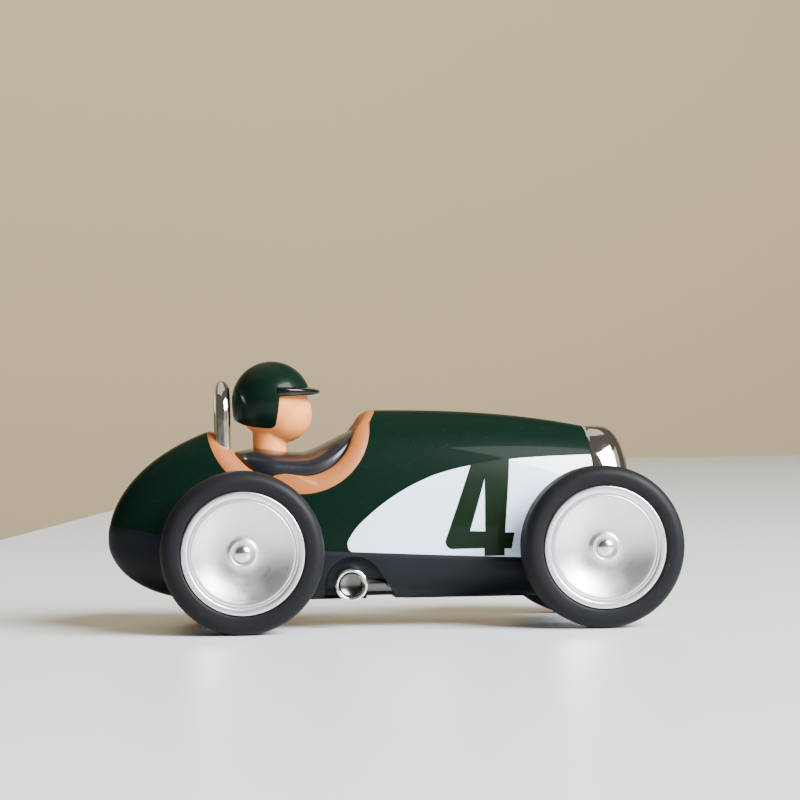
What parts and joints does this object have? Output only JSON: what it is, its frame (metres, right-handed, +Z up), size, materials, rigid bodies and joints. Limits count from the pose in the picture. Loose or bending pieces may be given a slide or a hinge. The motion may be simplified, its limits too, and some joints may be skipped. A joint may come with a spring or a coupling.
{
  "type": "pull back car",
  "caption": "Toy vintage racing car with a peg driver, large rubber-tyred wheels, a roll hoop and a spring motor that drives the rear axle.",
  "frame": {"origin": "on the floor under the middle of the car's overall box", "axes": "+X forward, +Y to the car's left, +Z up"},
  "size_m": [0.159, 0.0748, 0.0751],
  "materials": {
    "body_green": "glossy dark green lacquer with a bluish-white side panel and a green race number",
    "helmet_green": "glossy dark green",
    "casing_charcoal": "satin near-black",
    "trim_tan": "satin tan",
    "gloss_black": "glossy black",
    "chrome": "bright plated",
    "skin": "satin skin colour",
    "zinc": "zinc plated",
    "steel": "ground steel",
    "nylon": "natural white nylon",
    "gear_plastic": "acetal",
    "rubber": "smooth satin black",
    "satin_silver": "satin silver"
  },
  "bodies": {
    "car": {"body_shell": "body_green", "lower_casing": "casing_charcoal", "cockpit_trim": "trim_tan", "cockpit_cover": "gloss_black", "radiator_shell": "chrome", "radiator_grille": "chrome", "driver_head": "skin", "helmet": "helmet_green", "helmet_peak": "gloss_black", "head_screw": "zinc", "roll_hoop": "chrome", "exhaust_right": "chrome", "exhaust_left": "chrome", "exhaust_cove_right": "gloss_black", "exhaust_cove_left": "gloss_black", "front_bushes": "nylon", "motor_case_right": "nylon", "motor_case_left": "nylon", "motor_screws": "zinc", "mainspring": "steel", "casing_screws": "zinc"},
    "rear_wheels": {"rear_axle": "steel", "axle_pinion": "gear_plastic", "tyre_rear_right": "rubber", "tyre_rear_left": "rubber", "wheel_disc_rear_right": "satin_silver", "wheel_disc_rear_left": "satin_silver", "hub_cap_rear_right": "satin_silver", "hub_cap_rear_left": "satin_silver"},
    "front_wheels": {"front_axle": "steel", "tyre_front_right": "rubber", "tyre_front_left": "rubber", "wheel_disc_front_right": "satin_silver", "wheel_disc_front_left": "satin_silver", "hub_cap_front_right": "satin_silver", "hub_cap_front_left": "satin_silver"},
    "idler": {"idler_gear": "gear_plastic"},
    "spring_drum": {"spring_gear": "gear_plastic"}
  },
  "joints": [
    {"name": "rear_wheels_roll", "type": "hinge", "parent": "car", "child": "rear_wheels", "pos_m": [-0.043, 0, 0.0225], "axis": [0, 1, 0], "continuous": true},
    {"name": "front_wheels_roll", "type": "hinge", "parent": "car", "child": "front_wheels", "pos_m": [0.057, 0, 0.0225], "axis": [0, 1, 0], "continuous": true},
    {"name": "idler_spin", "type": "hinge", "parent": "car", "child": "idler", "pos_m": [-0.03718, 0, 0.02944], "axis": [0, 1, 0], "continuous": true},
    {"name": "spring_drum_spin", "type": "hinge", "parent": "car", "child": "spring_drum", "pos_m": [-0.02689, 0, 0.02314], "axis": [0, 1, 0], "continuous": true}
  ],
  "couplings": [
    {"joint": "idler_spin", "follows": "rear_wheels_roll", "ratio": -0.5},
    {"joint": "spring_drum_spin", "follows": "rear_wheels_roll", "ratio": 0.16667}
  ]
}
